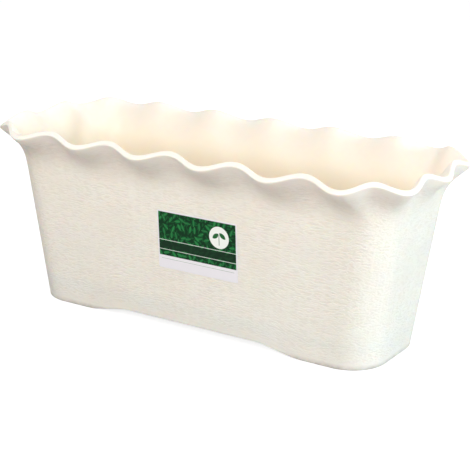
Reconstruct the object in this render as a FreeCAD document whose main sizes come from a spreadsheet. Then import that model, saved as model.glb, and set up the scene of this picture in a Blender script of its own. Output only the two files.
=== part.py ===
import FreeCAD, Part
import os
from math import cos, sin, pi

import Sketcher
from FreeCAD import Placement, Rotation, Vector

# A window box planter: one moulded tub with leaning walls and a flared rim that runs in waves,
# a loose drain grid that stands on its floor, two plugs that close the drain holes from below,
# and a stick-on label. Millimetres, +Z up, the long side along X, the labelled front facing -Y.
# The origin is the middle of the footprint, on the surface that the feet stand on.

doc = FreeCAD.newDocument("window_box_planter")

# ---------------------------------------------------------------- driving dimensions
SIZES = [
    ("base_length", 430),        # foot outline, along X
    ("base_width", 132),         # foot outline, along Y
    ("base_corner", 41),         # plan radius of the walls' corners
    ("base_round", 1.5),         # rounding of the edge that stands on the ground
    ("skirt", 4),                # thickness of the walls below the floor
    ("side_draft", 4),           # lean of the long walls, degrees
    ("end_draft", 7.5),          # lean of the end walls, degrees
    ("wall", 2.3),               # thickness of the walls
    ("flare_start", 150),        # height where the walls begin to flare
    ("lip_length", 511),         # middle line of the rim, along X
    ("lip_width", 210),          # middle line of the rim, along Y
    ("lip_corner", 67),          # plan radius of the rim's corners
    ("lip_height", 200),         # mean height of the rim's middle line
    ("lip_lean", 45),            # direction in which the rim ends, degrees from upright
    ("rim_thickness", 6.5),      # the rim swells to this and is rounded over
    ("wave_out", 4),             # the rim swings this far out and in
    ("wave_up", 4.1),            # and this far down and up
    ("wave_fade", 0.5),          # share of the wave left half way down the flare
    ("side_waves", 5),           # waves along each long side
    ("end_waves", 2),            # waves across each end
    ("corner_wave", 65),         # length of the single wave round each corner
    ("corner_lead", 8),          # it begins this far into the corner
    ("floor_clear", 12),         # underside of the floor above the ground
    ("floor_thickness", 3),
    ("floor_cove", 6),           # inside rounding between floor and walls
    ("arch_rise", 8.5),          # the long sides are cut away this high between the feet
    ("arch_flat", 176),          # length of the level part of that cut
    ("arch_ramp", 44),           # length of the slope at each end of it
    ("arch_round", 150),         # where the slope meets the level part
    ("drain_bore", 18),          # the two holes in the floor
    ("drain_spacing", 240),      # from one hole to the other
    ("grid_thickness", 2.5),
    ("grid_legs", 15),           # height of the legs under the grid
    ("leg_diameter", 9),
    ("leg_columns", 4),
    ("leg_slots", 6),            # slots from one column of legs to the next
    ("leg_rows_apart", 80),
    ("slot_length", 42),
    ("slot_width", 5),
    ("slot_columns", 20),
    ("slot_pitch", 19),
    ("slot_rows_apart", 52),
    ("grid_clearance", 1.5),     # from the grid's edge to the walls
    ("seat_gap", 0.1),           # between a loose piece and what it rests on
    ("plug_clearance", 0.05),    # all round the plug's shank
    ("plug_flange", 27),
    ("plug_flange_thickness", 2.4),
    ("plug_above_floor", 1.5),
    ("plug_point", 2),           # the shank narrows by this at its tip, on the diameter
    ("grip_length", 16),
    ("grip_width", 4),
    ("grip_height", 3),
    ("label_width", 100),
    ("label_height", 65),
    ("label_thickness", 0.2),
    ("label_gap", 0.05),
    ("label_centre_x", 15),
    ("label_centre_height", 103),
]

# What follows from them, in the sheet's own terms.
DERIVED = [
    ("floor_top", "=floor_clear + floor_thickness"),
    ("grid_height", "=floor_top + seat_gap + grid_legs"),
    ("grid_inset", "=2 * (wall + grid_clearance)"),
    ("grid_length", "=base_length + 2 * grid_height * tan(end_draft * 1 deg) - grid_inset"),
    ("grid_width", "=base_width + 2 * grid_height * tan(side_draft * 1 deg) - grid_inset"),
    ("grid_corner", "=base_corner - wall - grid_clearance"),
    ("slot_reach", "=(slot_columns - 1) * slot_pitch"),
    ("leg_pitch", "=leg_slots * slot_pitch"),
    ("leg_reach", "=(leg_columns - 1) * leg_pitch"),
    ("plug_height", "=floor_clear - seat_gap"),
    ("plug_shank", "=drain_bore / 2 - plug_clearance"),
    ("plug_tip_height", "=seat_gap + floor_thickness + plug_above_floor"),
]

sheet = doc.addObject("Spreadsheet::Sheet", "sizes")
for row, (alias, content) in enumerate(SIZES + DERIVED, start=1):
    sheet.set(f"A{row}", alias)
    sheet.set(f"B{row}", str(content))
    sheet.setAlias(f"B{row}", alias)
doc.recompute()


def size(alias):
    return float(getattr(sheet, alias))


# ---------------------------------------------------------------- outlines and rings
def tangent(degrees):
    return sin(degrees * pi / 180) / cos(degrees * pi / 180)


SIDE_SLOPE = tangent(size("side_draft"))
END_SLOPE = tangent(size("end_draft"))

# Points on each stretch of a ring: a long side, a corner and an end.
SIDE_POINTS = 6 * int(size("side_waves"))
CORNER_POINTS = 9
END_POINTS = 3 * int(size("end_waves"))
STRETCHES = [SIDE_POINTS, CORNER_POINTS, END_POINTS, CORNER_POINTS] * 2


class Outline:
    """A rounded rectangle in plan, centred on the origin. Its eight stretches run round from
    the front's left end: front, corner, right end, corner, back, corner, left end, corner."""

    def __init__(self, half_length, half_width, corner):
        self.straight_x = half_length - corner
        self.straight_y = half_width - corner
        self.corner = corner

    def inset(self, distance):
        corner = max(self.corner - distance, 1)
        return Outline(
            self.straight_x + self.corner - distance,
            self.straight_y + self.corner - distance,
            corner,
        )

    def sides(self):
        """Each side's end, where its corner begins: that corner's centre, the side's outward
        direction, and half the side's straight length."""
        for number, (x, y) in enumerate([(1, -1), (1, 1), (-1, 1), (-1, -1)]):
            centre = Vector(x * self.straight_x, y * self.straight_y, 0)
            out = Rotation(Vector(0, 0, 1), 90 * number - 90).multVec(Vector(1, 0, 0))
            yield centre, out, (self.straight_y if number % 2 else self.straight_x)

    def stations(self):
        """Points round the outline, each with the outward direction there. Every outline has
        as many, so the points of two rings lie in line."""
        points = []
        for (centre, out, half_run), count in zip(self.sides(), STRETCHES[::2]):
            along = Vector(-out.y, out.x, 0)
            for step in range(count):
                place = centre - along * (2 * half_run * (1 - step / count))
                points.append((place + out * self.corner, out))
            for step in range(CORNER_POINTS):
                turn = Rotation(Vector(0, 0, 1), 90 * step / CORNER_POINTS)
                direction = turn.multVec(out)
                points.append((centre + direction * self.corner, direction))
        return points

    def edges(self, height):
        """The outline itself at a height, as four straight edges and four arcs."""
        edges = []
        for centre, out, half_run in self.sides():
            centre = centre + Vector(0, 0, height)
            along = Vector(-out.y, out.x, 0)
            side_end = centre + out * self.corner
            side_start = side_end - along * (2 * half_run)
            middle = centre + (out + along).normalize() * self.corner
            corner_end = centre + along * self.corner
            edges.append(Part.LineSegment(side_start, side_end).toShape())
            edges.append(Part.Arc(side_end, middle, corner_end).toShape())
        return edges


def wall_outline(height):
    """The outside of the walls at a height below the flare."""
    return Outline(
        size("base_length") / 2 + height * END_SLOPE,
        size("base_width") / 2 + height * SIDE_SLOPE,
        size("base_corner"),
    )


def rim_swing():
    """How far the rim swings out at each station, from -1 (in and high) to +1 (out and low)."""
    straight_x = size("lip_length") / 2 - size("lip_corner")
    straight_y = size("lip_width") / 2 - size("lip_corner")
    arc = size("lip_corner") * pi / 2
    quarter = straight_x + arc + straight_y
    corner_from = straight_x + size("corner_lead")
    corner_to = corner_from + size("corner_wave")
    corner_waves = 1

    def phase(travel):
        """Waves from the middle of a long side to a point that far along the rim."""
        if travel < corner_from:
            return travel / corner_from * size("side_waves") / 2
        before = size("side_waves") / 2
        if travel < corner_to:
            return before + (travel - corner_from) / size("corner_wave") * corner_waves
        before += corner_waves
        return before + (travel - corner_to) / (quarter - corner_to) * size("end_waves") / 2

    travels = []
    for half_run, count, from_middle in [
        (straight_x, SIDE_POINTS, 0),
        (straight_y, END_POINTS, quarter),
    ]:
        side = [abs(2 * step / count - 1) * half_run for step in range(count)]
        arc_steps = [half_run + arc * step / CORNER_POINTS for step in range(CORNER_POINTS)]
        travels += [abs(from_middle - travel) for travel in side + arc_steps]
    return [-cos(2 * pi * phase(travel)) for travel in travels * 2]


def lip_ring(across, along, waviness=1):
    """A ring beside the rim's middle line: across the rim's thickness (outer side positive),
    and along the direction in which the wall runs out into it."""
    lean = size("lip_lean") * pi / 180
    outline = Outline(size("lip_length") / 2, size("lip_width") / 2, size("lip_corner"))
    ring = []
    for (place, out), swing in zip(outline.stations(), rim_swing()):
        swing *= waviness
        wave = out * (size("wave_out") * swing) - Vector(0, 0, size("wave_up") * swing)
        end_direction = out * sin(lean) + Vector(0, 0, cos(lean))
        outer_direction = out * cos(lean) - Vector(0, 0, sin(lean))
        centre = place + Vector(0, 0, size("lip_height")) + wave
        ring.append(centre + outer_direction * across + end_direction * along)
    return ring


# ---------------------------------------------------------------- the tub's skins
def smooth_edges(points):
    """One smooth closed curve through a ring's points, cut into the eight stretches. Its
    poles stand off the points by a sixth of the bend there, which is what a cubic curve
    falls short by."""
    poles = []
    for before, point, after in zip(points[-1:] + points, points, points[1:] + points[:1]):
        poles.append(point - (before + after - point * 2) / 6)
    poles = poles[-1:] + poles[:-1]
    curve = Part.BSplineCurve()
    curve.buildFromPolesMultsKnots(
        poles, [1] * (len(poles) + 1), list(range(len(poles) + 1)), True, 3
    )
    edges = []
    start = 0
    for count in STRETCHES:
        edges.append(curve.toShape(start, start + count))
        start += count
    return edges


def pulled(rings, bands):
    """Rings spread along a Bezier curve from the first ring to the last, which the rings in
    between pull; both ends are left out."""
    spread = []
    for step in range(1, bands):
        level = rings
        share = step / bands
        while len(level) > 1:
            level = [
                [low + (high - low) * share for low, high in zip(lower, upper)]
                for lower, upper in zip(level, level[1:])
            ]
        spread.append(level[0])
    return spread


FLARE_BANDS = 8
RIM_BANDS = 4
ROUNDING_BANDS = 3


def rounding(radius, height, inset):
    """Level rings round a quarter circle, from the wall's foot in to the level face below."""
    rings = []
    for step in range(ROUNDING_BANDS + 1):
        angle = pi / 2 * step / ROUNDING_BANDS
        level = height + radius * (1 - sin(angle))
        rings.append(
            wall_outline(level).inset(inset + radius * (1 - cos(angle))).edges(level)
        )
    return rings


def tub_rings():
    """The tub's section as rings: from the ceiling of the hollow under the floor, down the
    skirt, up the outside, over the rim, and down the inside to the floor."""
    wall = size("wall")
    base_round = size("base_round")
    flare_start = size("flare_start")
    run_out = (size("lip_height") - flare_start) / 2
    half_rim = size("rim_thickness") / 2
    ceiling = size("floor_clear")
    floor_top = ceiling + size("floor_thickness")

    def wall_ring(height, inset):
        stations = wall_outline(height).inset(inset).stations()
        return [place + Vector(0, 0, height) for place, out in stations]

    def flare(half_thickness, inset):
        return [
            wall_ring(flare_start, inset),
            wall_ring(flare_start + run_out, inset),
            lip_ring(half_thickness, -run_out, size("wave_fade")),
            lip_ring(half_thickness, 0),
        ]

    # The skirt that hides the hollow, and the rounded edge that stands on the ground.
    skirt = size("skirt")
    rings = [wall_outline(level).inset(skirt).edges(level) for level in (ceiling, 0)]
    rings += reversed(rounding(base_round, 0, 0))

    # The outside of the walls runs out into the rim, whose edge is rounded over: handles of
    # 4/3 of its half thickness make the nearest thing to a half circle.
    outside = flare(half_rim, 0)
    inside = flare(-half_rim, wall)
    handle = half_rim * 4 / 3
    edge = [outside[3], lip_ring(half_rim, handle), lip_ring(-half_rim, handle), inside[3]]
    waved = pulled(outside, FLARE_BANDS) + [outside[3]] + pulled(edge, RIM_BANDS)
    waved += [inside[3]] + pulled(inside[::-1], FLARE_BANDS)
    rings.append(wall_outline(flare_start).edges(flare_start))
    rings += [smooth_edges(ring) for ring in waved]
    rings.append(wall_outline(flare_start).inset(wall).edges(flare_start))

    # The inside of the walls, and the rounding down to the floor.
    rings += rounding(size("floor_cove"), floor_top, wall)
    return rings


def stretch_face(low, high):
    """The face between the same stretch of two rings."""
    if "Line" in low.Curve.TypeId and "Line" in high.Curve.TypeId:
        corners = [low.Vertexes[0], low.Vertexes[1], high.Vertexes[1], high.Vertexes[0]]
        places = [corner.Point for corner in corners]
        return Part.Face(Part.makePolygon(places + places[:1]))
    return Part.makeRuledSurface(low, high)


def tub_shell():
    rings = tub_rings()
    wires = [Part.Wire(ring) for ring in rings]
    ceiling, skirt_foot, ground = wires[:3]
    foot_face = Part.Face([ground, skirt_foot.reversed()])
    faces = [Part.Face(ceiling), foot_face, Part.Face(wires[-1])]
    for lower, upper in zip(rings, rings[1:]):
        if lower is not rings[1]:
            faces += [stretch_face(low, high) for low, high in zip(lower, upper)]
    skin = Part.Compound(faces)
    skin.sewShape(1e-4)
    solid = Part.Solid(skin.Shells[0])
    if solid.Volume < 0:
        solid.reverse()
    return solid


# ---------------------------------------------------------------- sketches and bodies
def bind(thing, **bindings):
    """Bind properties to the sheet; a doubled underscore stands for a dot."""
    for name, expression in bindings.items():
        thing.setExpression(name.replace("__", "."), expression)


def new_body(name):
    return doc.addObject("PartDesign::Body", name)


def new_sketch(body, name, plane="XY_Plane"):
    sketch = body.newObject("Sketcher::SketchObject", name)
    origin_planes = {item.Role: item for item in body.Origin.OriginFeatures}
    sketch.AttachmentSupport = [(origin_planes[plane], "")]
    sketch.MapMode = "FlatFace"
    return sketch


def polygon(sketch, corners):
    """Straight edges round corners that are each given as two expressions."""
    places = [
        Vector(float(sheet.evalExpression(x)), float(sheet.evalExpression(y)), 0)
        for x, y in corners
    ]
    first = sketch.GeometryCount
    for number, place in enumerate(places):
        following = places[(number + 1) % len(places)]
        sketch.addGeometry(Part.LineSegment(place, following))
    for number, (corner, place) in enumerate(zip(corners, places)):
        edge = first + number
        following = first + (number + 1) % len(places)
        sketch.addConstraint(Sketcher.Constraint("Coincident", edge, 2, following, 1))
        for kind, axis, expression, distance in [
            ("DistanceX", -2, corner[0], place.x),
            ("DistanceY", -1, corner[1], place.y),
        ]:
            if expression == "0":
                sketch.addConstraint(Sketcher.Constraint("PointOnObject", edge, 1, axis))
                continue
            constraint = Sketcher.Constraint(kind, -1, 1, edge, 1, distance)
            index = sketch.addConstraint(constraint)
            sketch.setExpression(f"Constraints[{index}]", expression)


def rectangle(sketch, length, width, centre_x="0", centre_y="0"):
    polygon(
        sketch,
        [
            (f"{centre_x} + {along} * ({length}) / 2", f"{centre_y} + {across} * ({width}) / 2")
            for along, across in [(-1, -1), (1, -1), (1, 1), (-1, 1)]
        ],
    )


def circle(sketch, diameter, centre_x, centre_y):
    radius = sheet.evalExpression(diameter) / 2
    centre = Vector(sheet.evalExpression(centre_x), sheet.evalExpression(centre_y), 0)
    ring = sketch.addGeometry(Part.Circle(centre, Vector(0, 0, 1), radius))
    for kind, value, expression in [
        ("DistanceX", centre.x, centre_x),
        ("DistanceY", centre.y, centre_y),
    ]:
        index = sketch.addConstraint(Sketcher.Constraint(kind, -1, 1, ring, 3, value))
        sketch.setExpression(f"Constraints[{index}]", expression)
    index = sketch.addConstraint(Sketcher.Constraint("Diameter", ring, 2 * radius))
    sketch.setExpression(f"Constraints[{index}]", diameter)


def pad(body, sketch, name, length, **settings):
    feature = body.newObject("PartDesign::Pad", name)
    feature.Profile = sketch
    for setting, value in settings.items():
        setattr(feature, setting, value)
    bind(feature, Length=length)
    doc.recompute()
    return feature


def row_of(body, original, sketch, name, length, count):
    """Copies of a feature along X; the first is where the original is."""
    pattern = body.newObject("PartDesign::LinearPattern", name)
    pattern.Originals = [original]
    pattern.Direction = (sketch, ["H_Axis"])
    bind(pattern, Length=length, Occurrences=count)
    body.Tip = pattern
    doc.recompute()
    return pattern


def round_edges(body, feature, name, radius, chosen):
    """Round those edges of a feature that a test picks out."""
    fillet = body.newObject("PartDesign::Fillet", name)
    names = [
        f"Edge{number}"
        for number, edge in enumerate(feature.Shape.Edges, start=1)
        if chosen(edge)
    ]
    fillet.Base = (feature, names)
    bind(fillet, Radius=radius)
    body.Tip = fillet
    doc.recompute()
    return fillet


# ---------------------------------------------------------------- the planter's pieces
def make_tub():
    shell = doc.addObject("Part::Feature", "tub_shell")
    shell.Shape = tub_shell()

    # The cut between the feet, right through both long sides.
    arch = new_body("arch_cut")
    sketch = new_sketch(arch, "arch_profile", "XZ_Plane")
    half_flat = "sizes.arch_flat / 2"
    half_foot = f"({half_flat} + 2 * sizes.arch_ramp)"
    polygon(
        sketch,
        [
            (f"-{half_foot}", "-sizes.arch_rise"),
            (half_foot, "-sizes.arch_rise"),
            (half_flat, "sizes.arch_rise"),
            (f"-{half_flat}", "sizes.arch_rise"),
        ],
    )
    prism = pad(arch, sketch, "arch_prism", "2 * sizes.base_width", Midplane=True)
    rise = size("arch_rise")
    round_edges(
        arch,
        prism,
        "arch_rounds",
        "sizes.arch_round",
        lambda edge: edge.BoundBox.XLength < 0.01
        and edge.BoundBox.ZLength < 0.01
        and abs(edge.CenterOfMass.z - rise) < 0.01,
    )

    cuts = [arch]
    for name, side in [("left", -1), ("right", 1)]:
        hole = doc.addObject("Part::Cylinder", f"drain_{name}")
        bind(
            hole,
            Radius="sizes.drain_bore / 2",
            Height="sizes.floor_top + sizes.floor_clear",
            Placement__Base__x=f"{side} * sizes.drain_spacing / 2",
        )
        cuts.append(hole)
    openings = doc.addObject("Part::MultiFuse", "tub_cuts")
    openings.Shapes = cuts

    tub = doc.addObject("Part::Cut", "planter_tub")
    tub.Base = shell
    tub.Tool = openings
    return tub


def make_drain_grid():
    """The slotted false floor. Its slots run across the planter in two rows, and its legs
    stand between the slots."""
    body = new_body("drain_grid")
    outline = new_sketch(body, "grid_outline")
    rectangle(outline, "sizes.grid_length", "sizes.grid_width")
    plate = pad(body, outline, "grid_plate", "sizes.grid_thickness")
    round_edges(
        body,
        plate,
        "grid_corners",
        "sizes.grid_corner",
        lambda edge: edge.BoundBox.ZLength > size("grid_thickness") / 2,
    )

    leg_sketch = new_sketch(body, "leg_section")
    for row in (-1, 1):
        circle(
            leg_sketch,
            "sizes.leg_diameter",
            "-sizes.leg_reach / 2",
            f"{row} * sizes.leg_rows_apart / 2",
        )
    leg = pad(body, leg_sketch, "grid_leg", "sizes.grid_legs", Reversed=True)
    row_of(body, leg, leg_sketch, "grid_leg_row", "sizes.leg_reach", "sizes.leg_columns")

    slot_sketch = new_sketch(body, "slot_section")
    for row in (-1, 1):
        rectangle(
            slot_sketch,
            "sizes.slot_width",
            "sizes.slot_length",
            "-sizes.slot_reach / 2",
            f"{row} * sizes.slot_rows_apart / 2",
        )
    slot = body.newObject("PartDesign::Pocket", "grid_slot")
    slot.Profile = slot_sketch
    slot.Reversed = True
    bind(slot, Length="sizes.grid_thickness")
    doc.recompute()
    row_of(body, slot, slot_sketch, "grid_slot_row", "sizes.slot_reach", "sizes.slot_columns")

    bind(body, Placement__Base__z="sizes.grid_height")
    return body


def make_drain_plug(name, side):
    """A plug pushed up into a hole of the floor: a flange, a shank with a tapered tip, and a
    bar to pull it by."""
    body = new_body(name)
    profile = new_sketch(body, f"{name}_profile", "XZ_Plane")
    tip = "(sizes.plug_shank - sizes.plug_point / 2)"
    polygon(
        profile,
        [
            ("0", "-sizes.plug_flange_thickness"),
            ("sizes.plug_flange / 2", "-sizes.plug_flange_thickness"),
            ("sizes.plug_flange / 2", "0"),
            ("sizes.plug_shank", "0"),
            ("sizes.plug_shank", "sizes.seat_gap + sizes.floor_thickness"),
            (tip, "sizes.plug_tip_height"),
            ("0", "sizes.plug_tip_height"),
        ],
    )
    turned = body.newObject("PartDesign::Revolution", f"{name}_turned")
    turned.Profile = profile
    turned.ReferenceAxis = (profile, ["V_Axis"])
    turned.Angle = 360
    doc.recompute()

    grip = new_sketch(body, f"{name}_grip_section")
    rectangle(grip, "sizes.grip_length", "sizes.grip_width")
    grip.AttachmentOffset = Placement(Vector(0, 0, 0), Rotation())
    bind(grip, AttachmentOffset__Base__z="-sizes.plug_flange_thickness")
    pad(body, grip, f"{name}_grip", "sizes.grip_height", Reversed=True)

    bind(
        body,
        Placement__Base__x=f"{side} * sizes.drain_spacing / 2",
        Placement__Base__z="sizes.plug_height",
    )
    return body


def make_label():
    """A thin sheet that lies on the front wall and leans as the wall does."""
    body = new_body("label")
    sketch = new_sketch(body, "label_outline")
    rectangle(sketch, "sizes.label_width", "sizes.label_height")
    pad(body, sketch, "label_sheet", "sizes.label_thickness")
    lean = "sizes.side_draft * 1 deg"
    wall_y = f"sizes.base_width / 2 + sizes.label_centre_height * tan({lean})"
    body.Placement = Placement(Vector(), Rotation(Vector(1, 0, 0), 90))
    bind(
        body,
        Placement__Rotation__Angle="90 + sizes.side_draft",
        Placement__Base__x="sizes.label_centre_x",
        Placement__Base__y=f"-({wall_y}) - sizes.label_gap / cos({lean})",
        Placement__Base__z="sizes.label_centre_height",
    )
    return body


pieces = [
    make_tub(),
    make_drain_grid(),
    make_drain_plug("drain_plug_left", -1),
    make_drain_plug("drain_plug_right", 1),
    make_label(),
]
doc.recompute()

for item in doc.Objects:
    if {"Invalid", "Error"} & set(item.State):
        raise RuntimeError(f"{item.Label} did not build: {item.State}")

os.makedirs("parts", exist_ok=True)
for piece in pieces:
    shape = piece.Shape
    if shape.isNull() or not shape.isValid() or len(shape.Solids) != 1:
        raise RuntimeError(f"{piece.Label} is not one valid solid")
    shape.exportStep(f"parts/{piece.Label}.step")
    extent = shape.BoundBox
    print(
        f"{piece.Label}: {extent.XLength:.1f} x {extent.YLength:.1f} x {extent.ZLength:.1f} mm,"
        f" from z {extent.ZMin:.2f} to {extent.ZMax:.2f}, {shape.Volume / 1000:.1f} cm3"
    )
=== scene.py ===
# %% [markdown]
# # A wavy-rimmed window box planter
# This lesson dresses a planter that was drawn in CAD first. The planter is one cream plastic tub
# whose wall flares into a waved, rounded rim, with a printed label on its front, a slotted grid
# that lifts out, and two rubber plugs pushed up into the floor. The CAD model is loaded as a
# fixed frame, in metres, and every piece made here stays exactly where that frame says.

# %% Load the frame
import math

import bpy
from mathutils import Matrix, Vector


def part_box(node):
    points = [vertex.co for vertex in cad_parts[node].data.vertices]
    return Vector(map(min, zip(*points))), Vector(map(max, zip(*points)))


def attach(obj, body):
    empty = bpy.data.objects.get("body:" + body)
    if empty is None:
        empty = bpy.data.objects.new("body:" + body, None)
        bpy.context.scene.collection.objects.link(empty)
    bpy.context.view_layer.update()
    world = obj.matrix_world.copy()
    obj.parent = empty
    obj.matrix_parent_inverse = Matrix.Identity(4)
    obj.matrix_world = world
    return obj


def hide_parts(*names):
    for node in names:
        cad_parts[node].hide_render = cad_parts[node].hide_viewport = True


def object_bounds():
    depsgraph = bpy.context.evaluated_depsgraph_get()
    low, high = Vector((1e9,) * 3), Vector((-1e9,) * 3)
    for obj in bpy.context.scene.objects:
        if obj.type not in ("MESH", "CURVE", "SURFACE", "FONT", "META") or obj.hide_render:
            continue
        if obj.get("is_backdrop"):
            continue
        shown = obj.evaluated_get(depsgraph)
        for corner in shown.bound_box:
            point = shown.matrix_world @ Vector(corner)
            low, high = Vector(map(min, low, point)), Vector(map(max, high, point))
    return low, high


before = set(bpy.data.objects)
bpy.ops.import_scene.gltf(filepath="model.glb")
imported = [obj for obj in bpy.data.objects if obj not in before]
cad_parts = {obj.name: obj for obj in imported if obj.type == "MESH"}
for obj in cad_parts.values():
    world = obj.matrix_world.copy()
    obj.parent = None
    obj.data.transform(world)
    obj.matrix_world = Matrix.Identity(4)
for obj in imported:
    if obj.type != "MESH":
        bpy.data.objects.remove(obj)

MM = 0.001
cad_box = [list(corner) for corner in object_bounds()]
print("nodes:", ", ".join(sorted(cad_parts)))
print("size in mm:", [round((high - low) / MM, 1) for low, high in zip(*cad_box)])

# %% [markdown]
# ## The camera
# A photograph is matched by its angle, its distance and its lens together. Here the picture is
# square and 470 pixels wide, and the camera looks a little down at the planter's right front
# corner. A long lens from well away keeps the planter's two ends nearly the same size, as they
# are in a shop's picture.

# %% Aim the camera
PICTURE_WIDTH = 470
FOCAL_PIXELS = 1327.9
turn, tip, roll = 0.564, 0.295, 0.016
look_at = Vector((15.5, 0, 96.8)) * MM
distance = 1.452

forward = Vector((-math.sin(turn) * math.cos(tip), math.cos(turn) * math.cos(tip), -math.sin(tip)))
level = Vector((math.cos(turn), math.sin(turn), 0))
upward = level.cross(forward)
right = level * math.cos(roll) + upward * math.sin(roll)
upward = upward * math.cos(roll) - level * math.sin(roll)

camera = bpy.data.objects.new("camera", bpy.data.cameras.new("camera"))
bpy.context.scene.collection.objects.link(camera)
axes = Matrix((right, upward, -forward)).transposed()
camera.matrix_world = Matrix.Translation(look_at - forward * distance) @ axes.to_4x4()
camera.data.sensor_width = 36
camera.data.lens = FOCAL_PIXELS / PICTURE_WIDTH * camera.data.sensor_width
camera.data.clip_start = 0.05
bpy.context.scene.camera = camera
bpy.context.scene.view_settings.view_transform = "Standard"
print("lens in mm:", round(camera.data.lens, 1))
print("camera at", [round(value, 3) for value in camera.location])

# %% [markdown]
# ## Wires: formulas written as node trees
# The tub, the grid and the finishes are all built from nodes. A node tree written out link by
# link is hard to read, so this small class wraps a socket and lets Python's own signs stand for
# Math nodes: `a + b` adds an Add node and returns its output. A `Diagram` is a tree whose
# inputs are such wires.


# %% A wire, and the diagram that it runs in
class Wire:
    """A socket that can stand in a formula."""

    def __init__(self, diagram, socket):
        self.diagram = diagram
        self.socket = socket

    def math(self, operation, *others):
        terms = (self, *others)
        vector = any(isinstance(term, Wire) and term.socket.type == "VECTOR" for term in terms)
        kind = "ShaderNodeVectorMath" if vector else "ShaderNodeMath"
        plain_number = 1 if operation in ("DISTANCE", "LENGTH") else 0
        return self.diagram.wire(kind, dict(enumerate(terms)), plain_number, operation=operation)

    def __add__(self, other):
        return self.math("ADD", other)

    def __sub__(self, other):
        return self.math("SUBTRACT", other)

    def __mul__(self, other):
        return self.math("MULTIPLY", other)

    def __truediv__(self, other):
        return self.math("DIVIDE", other)

    def __rsub__(self, other):
        return (self * -1.0) + other

    def __neg__(self):
        return self * -1.0

    __radd__ = __add__
    __rmul__ = __mul__

    def clamped(self):
        """Held between 0 and 1."""
        return self.diagram.wire("ShaderNodeClamp", {"Value": self, "Min": 0.0, "Max": 1.0})

    def ramp(self, start, end):
        """0 at the start, 1 at the end, and held there beyond them."""
        limits = {"Value": self, "From Min": start, "From Max": end, "To Min": 0.0, "To Max": 1.0}
        return self.diagram.wire("ShaderNodeMapRange", limits, clamp=True)

    def parts(self):
        """The x, y and z of a vector."""
        split = self.diagram.node("ShaderNodeSeparateXYZ", {0: self})
        return [Wire(self.diagram, socket) for socket in split.outputs]


SOCKETS = {float: "NodeSocketFloat", int: "NodeSocketInt", tuple: "NodeSocketVector"}


class Diagram:
    """A node tree, with its named inputs as wires."""

    def __init__(self, name, inputs, outputs, kind="GeometryNodeTree"):
        self.tree = bpy.data.node_groups.new(name, kind)
        for label, value in inputs.items():
            socket_type = value if isinstance(value, str) else SOCKETS[type(value)]
            socket = self.tree.interface.new_socket(
                name=label, in_out="INPUT", socket_type=socket_type
            )
            if not isinstance(value, str):
                socket.default_value = value
        for label, socket_type in outputs.items():
            self.tree.interface.new_socket(name=label, in_out="OUTPUT", socket_type=socket_type)
        entry = self.tree.nodes.new("NodeGroupInput")
        self.inputs = {label: Wire(self, entry.outputs[label]) for label in inputs}
        self.exit = self.tree.nodes.new("NodeGroupOutput")

    def node(self, kind, plugs=None, **settings):
        node = self.tree.nodes.new(kind)
        for setting, value in settings.items():
            setattr(node, setting, value)
        for place, value in (plugs or {}).items():
            self.plug(value, node.inputs[place])
        return node

    def plug(self, value, socket):
        if isinstance(value, Wire):
            self.tree.links.new(value.socket, socket)
        elif socket.type == "VECTOR" and isinstance(value, (int, float)):
            socket.default_value = [value] * 3
        else:
            socket.default_value = value

    def wire(self, kind, plugs=None, output=0, **settings):
        return Wire(self, self.node(kind, plugs, **settings).outputs[output])

    def joined(self, x, y, z):
        return self.wire("ShaderNodeCombineXYZ", {0: x, 1: y, 2: z})

    def group(self, other, plugs):
        """Another diagram used as one node here; returns its outputs as wires."""
        kind = "ShaderNodeGroup" if self.tree.bl_idname == "ShaderNodeTree" else "GeometryNodeGroup"
        node = self.tree.nodes.new(kind)
        node.node_tree = other.tree
        for label, value in plugs.items():
            self.plug(value, node.inputs[label])
        return [Wire(self, socket) for socket in node.outputs]

    def finish(self, **results):
        for label, value in results.items():
            self.plug(value, self.exit.inputs[label.replace("_", " ")])


print("signs that a wire knows: + - * /")

# %% [markdown]
# ## The rounded outline
# Cut the tub level at any height and the section is a rectangle with rounded corners. All the
# sections are walked in step: the same three shares say how far a point is along the side, how
# far round the corner, and how far along the end. One small group turns those shares into a
# point and its outward direction, for an outline of any size. `Quarter` holds the signs of x
# and y, so one formula serves all four quarters.

# %% A group for one point of a rounded rectangle
rounded_outline = Diagram(
    "Rounded Outline",
    {
        "Half Length": 0.2,
        "Half Width": 0.07,
        "Corner": 0.04,
        "Along Side": 0.0,
        "Round Corner": 0.0,
        "Along End": 0.0,
        "Quarter": (1.0, 1.0, 0.0),
    },
    {"Point": "NodeSocketVector", "Outward": "NodeSocketVector"},
)
size = rounded_outline.inputs
corner_angle = size["Round Corner"] * (math.pi / 2)
across_corner = corner_angle.math("SINE")
down_corner = corner_angle.math("COSINE")
corner_x = size["Half Length"] - size["Corner"]
corner_y = size["Half Width"] - size["Corner"]
outline_point = rounded_outline.joined(
    corner_x * size["Along Side"] + size["Corner"] * across_corner,
    corner_y * (1.0 - size["Along End"]) + size["Corner"] * down_corner,
    0.0,
)
rounded_outline.finish(
    Point=outline_point * size["Quarter"],
    Outward=rounded_outline.joined(across_corner, down_corner, 0.0) * size["Quarter"],
)
print("nodes in the outline group:", len(rounded_outline.tree.nodes))

# %% [markdown]
# ## Curves between four rings
# The flare and the rounded rim are Bezier curves: each starts at one ring, ends at another, and
# is pulled by two rings in between. The same group makes both.

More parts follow.
